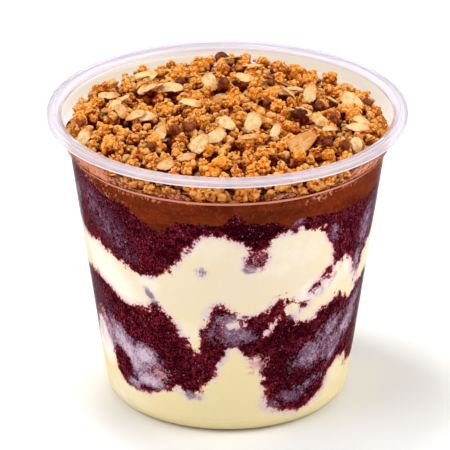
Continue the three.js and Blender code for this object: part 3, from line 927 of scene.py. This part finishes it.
def cluster_shape(draw, cores, size, grains, triangles):
    """A cluster, in millimetres: lumps stuck together, studded with grains and oat bits, and roughened."""
    lumps = [(np.zeros(3), size * draw.uniform(0.9, 1.15))]
    while len(lumps) < cores:
        at, radius = lumps[draw.integers(len(lumps))]
        way = draw.normal(size=3) * (1, 1, 0.7)
        at = at + way / np.linalg.norm(way) * radius * draw.uniform(0.9, 1.3)
        lumps.append((at, size * draw.uniform(0.6, 1.0)))
    balls = [(at, radius, False) for at, radius in lumps]
    for _ in range(grains):
        at, radius = lumps[draw.integers(cores)]
        way = draw.normal(size=3)
        at = at + way / np.linalg.norm(way) * radius * draw.uniform(0.8, 1.1)
        balls.append((at, size * draw.uniform(0.24, 0.52), draw.random() < OAT_BITS))
    ball = bpy.ops.mesh.primitive_ico_sphere_add
    piece = added(ball, subdivisions=2, radius=balls[0][1], location=(0, 0, 0))
    bpy.ops.object.mode_set(mode="EDIT")
    for at, radius, flat in balls[1:]:
        ball(
            subdivisions=2, radius=radius, location=at, rotation=draw.uniform(0, 6.28, 3),
            scale=(1.8, 1.3, 0.5) if flat else (1, 1, 1),
        )
    bpy.ops.object.mode_set(mode="OBJECT")
    applied(piece, "REMESH", mode="VOXEL", voxel_size=0.24)
    applied(piece, "DISPLACE", texture=added_texture("knob", 0.8), strength=0.45)
    applied(piece, "DISPLACE", texture=added_texture("crumb", 0.3), strength=0.5)
    applied(piece, "DECIMATE", ratio=min(1, triangles / (2 * len(piece.data.polygons))))
    shape = taken_apart(piece)
    shape["corners"] -= np.mean([at for at, _ in lumps], axis=0)
    return shape


def cluster_shapes(draw, count, cores, size, grains, triangles):
    return [cluster_shape(draw, int(draw.integers(*cores)), size, grains, triangles) for _ in range(count)]


def flake_shape(draw):
    """An oat flake of length 1: a thin blunt oval, creased lengthwise, curled, wavy and torn at the edge."""
    piece = added(bpy.ops.mesh.primitive_uv_sphere_add, segments=48, ring_count=12, radius=1)
    ball = corners_of(piece)
    around = np.arctan2(ball[:, 1], ball[:, 0])
    rim = np.hypot(ball[:, 0], ball[:, 1])
    phases = draw.uniform(0, 2 * math.pi, 6)
    uneven = 1 + 0.04 * np.sin(2 * around + phases[0]) + 0.035 * np.sin(3 * around + phases[1])
    uneven += 0.03 * np.sin(7 * around + phases[2]) + 0.02 * np.sin(13 * around + phases[3])
    tears = draw.uniform(-180, 180, 5), draw.uniform(0.03, 0.1, 5), draw.uniform(6, 14, 5)
    for at, depth, width in zip(*tears):
        uneven -= depth * np.exp(-((turn(np.degrees(around) - at) / width) ** 2))
    uneven /= (np.abs(np.cos(around)) ** 2.4 + np.abs(np.sin(around)) ** 2.4) ** (1 / 2.4)
    width = draw.uniform(0.28, 0.36)
    x = 0.5 * ball[:, 0] * uneven
    y = width * ball[:, 1] * uneven * (1 - 0.08 * ball[:, 0])
    side = np.sign(ball[:, 2])
    thick = 0.034 * side * np.abs(ball[:, 2]) ** 0.6
    crease = 0.022 * np.exp(-((y / 0.028) ** 2)) * (1 - rim**4) * side
    wavy = 0.013 * np.sin(14 * x + phases[4]) * np.sin(17 * y + phases[5])
    curl = draw.uniform(-0.25, 0.25) * x**2 + draw.uniform(-0.5, 0.5) * y**2 + draw.uniform(-0.3, 0.3) * x * y
    set_corners(piece, np.stack([x, y, thick - crease + wavy + curl], axis=1))
    shape = taken_apart(piece)
    shape["flake"] = np.stack([x, y, np.zeros_like(x)], axis=1)
    shape["rim"] = rim
    return shape


def ball_shape(draw, wrinkles):
    """A ball of radius 1, uneven, and wrinkled all over where it is a raisin."""
    piece = added(bpy.ops.mesh.primitive_ico_sphere_add, subdivisions=4 if wrinkles else 3, radius=1)
    ball = corners_of(piece)
    waves = sum(np.sin(ball @ draw.normal(size=3) * pace + draw.uniform(0, 6)) for pace in (1.6, 2.4, 3.1))
    size = 1 + 0.05 * waves + 0.03 * np.sin(6 * ball[:, 0] + 2 * waves) * np.sin(7 * ball[:, 1] + waves)
    if wrinkles:
        size += 0.07 * sum(np.sin(ball @ draw.normal(size=3) * pace + 2 * waves) for pace in (4, 5, 6, 8))
    set_corners(piece, ball * size[:, None])
    return taken_apart(piece)


def facing_up(corners, faces):
    """How far each corner of a piece faces up, from -1 to 1."""
    first, second, third = (corners[faces[:, side]] for side in range(3))
    normals = np.cross(second - first, third - first)
    total = np.zeros_like(corners)
    for side in range(3):
        np.add.at(total, faces[:, side], normals)
    return total[:, 2] / np.maximum(np.linalg.norm(total, axis=1), 1e-9)


def joined(name, heap, kind, material, fields, smooth=False):
    """All pieces of one kind as one mesh, with the fields that its finish reads."""
    corners, faces, values, start = [], [], {field: [] for field in fields}, 0
    for shape, placed, tone in heap.pieces[kind]:
        corners.append(placed * MM)
        faces.append(shape["faces"] + start)
        start += len(placed)
        tones = np.full(len(placed), tone)
        for field in fields:
            row = shape.get(field, tones)
            if field == "lump":
                # Faces turned sideways or down count as more hollow: painted shade on the undersides.
                hollow = shape["hollow"] + 0.4 * np.clip(0.45 - facing_up(placed, shape["faces"]), 0, 1)
                row = np.stack([hollow, tones, heap.sunk(placed)], axis=1)
            elif field == "flake":
                row = row + (0, 0, tone)
            values[field].append(row)
    mesh = bpy.data.meshes.new(name)
    mesh.from_pydata(np.concatenate(corners).tolist(), [], np.concatenate(faces).tolist())
    piece = bpy.data.objects.new(name, mesh)
    bpy.context.collection.objects.link(piece)
    if smooth:
        mesh.shade_smooth()
    mesh.materials.append(material)
    for field in fields:
        rows = np.concatenate(values[field])
        set_attribute(piece, field, rows, "FLOAT_VECTOR" if rows.ndim == 2 else "FLOAT")
    return piece


def bed_height(granola):
    """The bare core under the loose pieces, which falls to the chocolate short of the wall."""
    crest, edge, reach = granola.crest / MM, granola.edge / MM, granola.reach / MM

    def bed(radius):
        core = edge - BED_DROP + (crest - edge) * (1 - (radius / reach) ** 2)
        fall = np.clip((reach - BED_SHORT - radius) / BED_FALL, 0, 1)
        return CHOCOLATE_TOP[0] + (core - CHOCOLATE_TOP[0]) * fall

    return bed


HEAPS = {}


def filled_heap(scene):
    """The heap for the present settings, filled once."""
    granola, food, tub = scene.acai_granola, scene.acai_food, scene.acai_tub
    key = (granola.seed, granola.crest, granola.edge, granola.reach, food.embed, *tub_profile(tub)[1])
    if key not in HEAPS:
        HEAPS[key] = fill_heap(granola, lambda height: inside_radius(tub, food, height))
    return HEAPS[key]


def fill_heap(granola, wall):
    """Lays clusters, toppings and crumbs one after another, until the heap has its height all over."""
    heap = Heap(granola, bed_height(granola), wall)
    draw = heap.draw
    shapes = {kind: cluster_shapes(draw, *sizes) for kind, sizes in CLUSTER_SHAPES.items()}
    shapes["flakes"] = [flake_shape(draw) for _ in range(FLAKE_SHAPES)]
    shapes["balls"] = [ball_shape(draw, wrinkles=False) for _ in range(BALL_SHAPES)]
    shapes["raisins"] = [ball_shape(draw, wrinkles=True)]
    shapes["cocoa"] = cluster_shapes(np.random.default_rng(granola.seed + 1), *COCOA_SHAPES)

    def any_shape(kind):
        return shapes[kind][draw.integers(len(shapes[kind]))]

    def any_turn(kind, scale):
        shape = any_shape(kind)
        return shape, shape["corners"] @ turned_about(draw.uniform(0, 360, 3)).T * draw.uniform(*scale)

    def lay_many(kind, count, scale, reach, tries, ceiling, press=0.2):
        for _ in range(count):
            shape, corners = any_turn(kind, scale)
            heap.lay(kind, shape, corners, heap.spots(tries, reach), draw.random(), press, ceiling)

    def lay_seen(kind, shape, corners, right, up, tone, press):
        heap.lay(kind, shape, corners, heap.seen_spot(corners, right, up, press), tone, press)

    def flake(size, lean, yaw):
        shape = any_shape("flakes")
        tilt = turned_about((lean + draw.uniform(-4, 4), draw.uniform(-9, 9), 0))
        return shape, shape["corners"] * size @ turned_about((0, 0, yaw)).T @ tilt.T

    for count, sink in EDGE_RINGS:
        for index in range(count):
            angle = 2 * math.pi * (index + draw.uniform(-0.3, 0.3)) / count
            way = np.array([math.cos(angle), math.sin(angle)])
            shape, corners = any_turn("clusters", (0.7, 1.1))
            spot = way * (heap.reach - 0.6 - (corners[:, :2] @ way).max())
            push = (*(way * 0.5), 0)
            heap.lay("edge", shape, corners, spot[None, :], draw.random(), 0.3, 1.5, sink, push)
    lay_many("under", 540, (0.9, 1.25), reach=48, tries=12, ceiling=-2.2)
    lay_many("large", 76, (0.85, 1.15), reach=46, tries=8, ceiling=1.2)
    for _ in range(BURIED_FLAKES):
        shape, corners = flake(draw.uniform(6, 8), draw.uniform(-25, 25), draw.uniform(0, 360))
        heap.lay("flakes", shape, corners, heap.spots(1, 46), draw.uniform(0.4, 1), 0.4)
    lay_many("clusters", 100, (0.75, 1.15), reach=49, tries=12, ceiling=0.6)
    lay_many("clusters", 60, (0.7, 1.05), reach=48, tries=2, ceiling=2.4, press=0.35)
    for right, up in COCOA_CLUSTERS:
        lay_seen("cocoa", *any_turn("cocoa", (0.85, 1.05)), right, up, draw.random(), 0.5)
    for right, up, size in COCOA_BALLS:
        shape = any_shape("balls")
        lay_seen("balls", shape, shape["corners"] * size, right, up, draw.random(), 0.55)
    for right, up, yaw in RAISINS:
        shape = any_shape("raisins")
        corners = shape["corners"] * RAISIN_SIZE @ turned_about((0, 0, yaw)).T
        lay_seen("raisins", shape, corners, right, up, 0.5, 0.3)
    lay_many("small", 150, (0.8, 1.2), reach=50, tries=40, ceiling=0.0)
    lay_many("crumbs", 280, (0.5, 0.9), reach=50.5, tries=24, ceiling=-0.6)
    for right, up, yaw, size, lean, toast in OAT_FLAKES:
        lay_seen("flakes", *flake(size, lean, yaw), right, up, toast, 0.2)
    for index in range(SIDE_FLAKES):
        angle = 75 + 210 * (index + draw.uniform(0.1, 0.9)) / SIDE_FLAKES
        shape, corners = flake(draw.uniform(6.4, 8.6), draw.uniform(12, 40), draw.uniform(0, 360))
        spots = polar(np.array([angle]), draw.uniform(14, 45), np.zeros(1))[:, :2]
        corners = corners @ turned_about((0, 0, angle)).T
        heap.lay("flakes", shape, corners, spots, draw.uniform(0.05, 0.6), 0.25)
    return heap


class AddonOperator:
    bl_options = {"REGISTER", "UNDO"}


class ACAI_OT_stage(AddonOperator, bpy.types.Operator):
    """Adds the pale floor, the soft lights and the camera"""

    bl_idname = "acai.stage"
    bl_label = "Stage"

    def execute(self, context):
        stage = context.scene.acai_stage
        floor = added(bpy.ops.mesh.primitive_plane_add, size=14)
        floor.name = "floor"
        finish = Finish("floor", roughness=0.75, specular=0.2)
        shown = finish.coats(stage.floor_colour, ((0.8, 0.8, 0.8), finish.noise(3), 0.3, 0.7, 0.12))
        floor.data.materials.append(finish.finished(shown))
        for name, (place, size) in LIGHTS.items():
            self.light(name, place, size, getattr(stage, name + "_power"))
        world = bpy.data.worlds.new("studio")
        world.use_nodes = True
        background = world.node_tree.nodes["Background"].inputs
        background["Color"].default_value = (1, 1, 1, 1)
        background["Strength"].default_value = stage.world_strength
        context.scene.world = world
        context.scene.view_settings.view_transform = "Standard"
        self.camera(context, stage)
        return {"FINISHED"}

    def light(self, name, place, size, energy):
        way = np.array(place) - (0, 0, LIGHT_TARGET)
        angles = (math.atan2(math.hypot(way[0], way[1]), way[2]), 0, math.atan2(way[0], -way[1]))
        lamp = added(bpy.ops.object.light_add, type="AREA", location=place, rotation=angles)
        lamp.name = name
        lamp.data.size = size
        lamp.data.energy = energy
        lamp.visible_camera = False

    def camera(self, context, stage):
        sine, cosine = math.sin(stage.elevation), math.cos(stage.elevation)
        middle = np.array([stage.aim_right, 0, context.scene.acai_tub.height / 2])
        up, back = np.array([0, sine, cosine]), np.array([0, -cosine, sine])
        place = middle + stage.aim_up * up + stage.distance * back
        angles = (math.pi / 2 - stage.elevation, 0, 0)
        camera = added(bpy.ops.object.camera_add, location=place, rotation=angles)
        camera.data.lens = stage.lens
        camera.data.clip_end = 50
        context.scene.camera = camera


class ACAI_OT_tub(AddonOperator, bpy.types.Operator):
    """Adds the clear tub"""

    bl_idname = "acai.tub"
    bl_label = "Tub"

    def execute(self, context):
        tub = context.scene.acai_tub
        outside, inside = tub_profile(tub)
        piece = spun("clear_tub", outside + inside, steps=180)
        # For each zone: name, colour, how clear, roughness, how far light bends.
        finishes = {
            "wall": plastic_finish("clear_wall", tub.tint, 1.0, 0.0, 1.02),
            "band": plastic_finish("tinted_band", tub.tint, 1.0, 0.03, 1.03, tub.band_bounce_tint),
            "lip": plastic_finish("milky_lip", tub.lip_colour, 0.66, 0.2, 1.12, coat=0.6),
            # The edge zone is a painted highlight: a whiter, less clear line along the lip's lower edge.
            "edge": plastic_finish("bright_edge", tub.lip_colour, 0.2, 0.3, 1.2),
            # The step zone is a painted highlight: a pinkish line where the stacking step catches the light.
            "step": plastic_finish("hazy_step", tub.step_colour, 0.25, 0.3, 1.2),
        }
        for finish in finishes.values():
            piece.data.materials.append(finish)
        neck = tub.base_radius + tub.taper * tub.step_height
        for face in piece.data.polygons:
            radius, height = math.hypot(face.center.x, face.center.y), face.center.z
            zone = "wall"
            on_edge = radius > tub.rim_radius - tub.wall - 0.3 * MM
            if on_edge and abs(height - tub.height + tub.lip_drop) < 0.4 * MM:
                zone = "edge"
            elif height > tub.height - 1.9 * MM or radius > tub.band_top_radius:
                zone = "lip"
            elif height > tub.step_height + 1.05 * MM:
                zone = "band"
            elif height > tub.step_height - 0.3 * MM and radius > neck - 0.2 * MM:
                zone = "step"
            face.material_index = list(finishes).index(zone)
        bpy.ops.object.shade_smooth_by_angle(angle=math.radians(40))
        hand_over(piece, "clear_plastic", "tub")
        return {"FINISHED"}


class ACAI_OT_layers(AddonOperator, bpy.types.Operator):
    """Adds the layers of cream, acai and chocolate"""

    bl_idname = "acai.layers"
    bl_label = "Layers"

    def execute(self, context):
        food, tub = context.scene.acai_food, context.scene.acai_tub
        cream = layer_finish("cream", food, roughness=0.45)
        acai = layer_finish("acai", food, roughness=0.5)
        chocolate = layer_finish("chocolate", food, roughness=0.4)
        layer("cream_base", "cream_base", None, CREAM_BASE_TOP, 30, cream, food, tub)
        layer("acai_lower", "acai", CREAM_BASE_TOP, ACAI_LOWER_TOP, 36, acai, food, tub)
        layer("cream_middle", "cream_middle", ACAI_LOWER_TOP, CREAM_MIDDLE_TOP, 32, cream, food, tub)
        layer("acai_upper", "acai", CREAM_MIDDLE_TOP, ACAI_UPPER_TOP, 32, acai, food, tub)
        layer("chocolate", "chocolate", ACAI_UPPER_TOP, CHOCOLATE_TOP, 20, chocolate, food, tub, hug=9)
        return {"FINISHED"}


class ACAI_OT_granola_bed(AddonOperator, bpy.types.Operator):
    """Adds the crumbly core of the heap, which shows in the gaps, darker as painted shade"""

    bl_idname = "acai.granola_bed"
    bl_label = "Granola bed"

    def execute(self, context):
        granola = context.scene.acai_granola
        bed, reach, floor = bed_height(granola), granola.reach / MM - 2.6, CHOCOLATE_TOP[0] - BED_SUNK
        draw = np.random.default_rng(granola.seed)
        paces = np.repeat((0.5, 0.8, 1.3, 2.0), 4)
        waves = [(draw.normal(size=2) * pace, draw.uniform(0, 6), 0.5 / pace) for pace in paces]
        under = [0, 0.5, 0.97, 1]
        shares = np.concatenate([under, np.linspace(1, 0, 40)])

        def place(angle, ring):
            share = shares[ring]
            corners = polar(angle, share * reach, np.full_like(angle, floor))
            rough = sum(size * np.sin(corners[:, :2] @ way + phase) for way, phase, size in waves)
            top = bed(share * reach) - 0.6 + 0.5 * rough * np.minimum(1, 4 * share)
            corners[:, 2] = np.where(ring >= len(under), top, floor)
            return corners

        piece = wrapped_grid("granola_bed", columns=160, rings=len(shares), place=place)
        # Its dark blotches take the crevice colour: painted shade.
        finish = plain_finish(
            "granola_bed", granola.bed, granola.crevice_shade, roughness=0.8, scale=700, bump=0.0006
        )
        piece.data.materials.append(finish)
        hand_over(piece, "granola", "granola")
        return {"FINISHED"}


class ACAI_OT_granola(AddonOperator, bpy.types.Operator):
    """Adds the loose granola: clusters of all sizes and crumbs"""

    bl_idname = "acai.granola"
    bl_label = "Granola"

    def execute(self, context):
        granola = context.scene.acai_granola
        heap = filled_heap(context.scene)
        # The clusters' finish carries painted highlights, painted shade and painted light at the wall.
        granola_with_painted_light = cluster_finish(
            "granola", granola.pale, granola.golden, granola.toasted, granola.crevice_shade, granola.painted_edge_light
        )
        for kind in ("under", "large", "edge", "clusters", "small", "crumbs"):
            hand_over(joined("granola_" + kind, heap, kind, granola_with_painted_light, ["lump"]), "granola")
        return {"FINISHED"}


class ACAI_OT_toppings(AddonOperator, bpy.types.Operator):
    """Adds the toppings: oat flakes, cocoa clusters, cocoa balls and raisins"""

    bl_idname = "acai.toppings"
    bl_label = "Toppings"

    def execute(self, context):
        granola = context.scene.acai_granola
        heap = filled_heap(context.scene)
        # Cocoa clusters: the paler share is a painted highlight on tips, the darker shares painted shade in
        # hollows and under the heap.
        pale, dark, crevice_shade = (dimmed(granola.cocoa, share) for share in (1.5, 0.4, 0.15))
        cocoa = cluster_finish("cocoa", pale, granola.cocoa, dark, crevice_shade, granola.cocoa, sheen=0.3)
        dim_ball, dim_raisin = dimmed(granola.cocoa, 0.3), dimmed(granola.raisin, 0.35)
        ball = plain_finish(
            "cocoa_ball", granola.cocoa, dim_ball, roughness=0.45, scale=800, bump=0.0009
        )
        raisin = plain_finish(
            "raisin", granola.raisin, dim_raisin, roughness=0.6, scale=700, bump=0.0005
        )
        oat = flake_finish(granola)
        for piece in (
            joined("cocoa_clusters", heap, "cocoa", cocoa, ["lump"], smooth=True),
            joined("cocoa_balls", heap, "balls", ball, [], smooth=True),
            joined("raisins", heap, "raisins", raisin, [], smooth=True),
            joined("oat_flakes", heap, "flakes", oat, ["flake", "rim", "tone"], smooth=True),
        ):
            hand_over(piece, "granola")
        return {"FINISHED"}


class ACAI_PT_tub(bpy.types.Panel):
    """Sizes, colours and steps of the tub in the sidebar"""

    bl_label = "Acai tub"
    bl_idname = "ACAI_PT_tub"
    bl_space_type = "VIEW_3D"
    bl_region_type = "UI"
    bl_category = "Acai tub"

    def draw(self, context):
        for name in SETTINGS:
            box = self.layout.box()
            group = getattr(context.scene, name)
            for row in group.bl_rna.properties.keys()[2:]:
                box.prop(group, row)
        for step in STEPS:
            self.layout.operator(step.bl_idname)


SETTINGS = {
    "acai_tub": TubSettings, "acai_food": FoodSettings, "acai_granola": GranolaSettings,
    "acai_stage": StageSettings,
}
STEPS = (ACAI_OT_stage, ACAI_OT_tub, ACAI_OT_layers, ACAI_OT_granola_bed, ACAI_OT_granola, ACAI_OT_toppings)
CLASSES = (*SETTINGS.values(), *STEPS, ACAI_PT_tub)


def register():
    for item in CLASSES:
        bpy.utils.register_class(item)
    for name, group in SETTINGS.items():
        setattr(bpy.types.Scene, name, PointerProperty(type=group))


def unregister():
    for name in SETTINGS:
        delattr(bpy.types.Scene, name)
    for item in reversed(CLASSES):
        bpy.utils.unregister_class(item)


def main():
    register()
    bpy.ops.acai.stage()
    bpy.ops.acai.tub()
    bpy.ops.acai.layers()
    bpy.ops.acai.granola_bed()
    bpy.ops.acai.granola()
    bpy.ops.acai.toppings()


if __name__ == "__main__":
    main()
